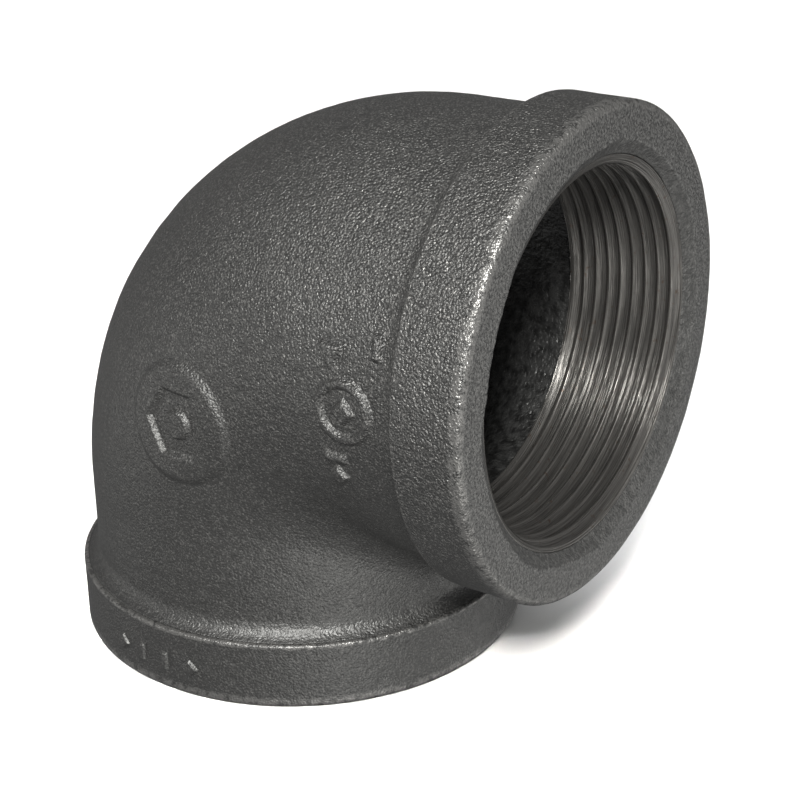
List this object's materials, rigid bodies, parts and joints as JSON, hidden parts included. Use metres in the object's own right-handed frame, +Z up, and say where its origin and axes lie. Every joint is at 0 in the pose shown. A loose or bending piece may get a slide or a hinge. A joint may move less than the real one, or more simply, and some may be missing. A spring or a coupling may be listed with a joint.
{
  "type": "threaded pipe elbow",
  "caption": "Black malleable-iron 90 degree pipe elbow with a reinforcing band and an internal pipe thread at each mouth.",
  "frame": {"origin": "centre of the lower mouth's face", "axes": "+X points out of the side mouth, -Z out of the lower mouth, +Z up; the bend's plane is Y = 0 and the raised marks are on the -Y cheek"},
  "size_m": [0.0953, 0.0768, 0.0953],
  "materials": {
    "cast_skin": "black as-cast skin, fine sandy grain with a soft oily sheen",
    "machined_thread": "bare turned iron with circumferential tool marks and faint rust specks"
  },
  "bodies": {
    "root": {"elbow_body": "cast_skin", "side_band": "cast_skin", "lower_band": "cast_skin", "side_thread": "machined_thread", "lower_thread": "machined_thread", "raised_roundel": "cast_skin", "raised_ring": "cast_skin", "raised_ticks": "cast_skin", "band_ticks": "cast_skin"}
  },
  "joints": []
}
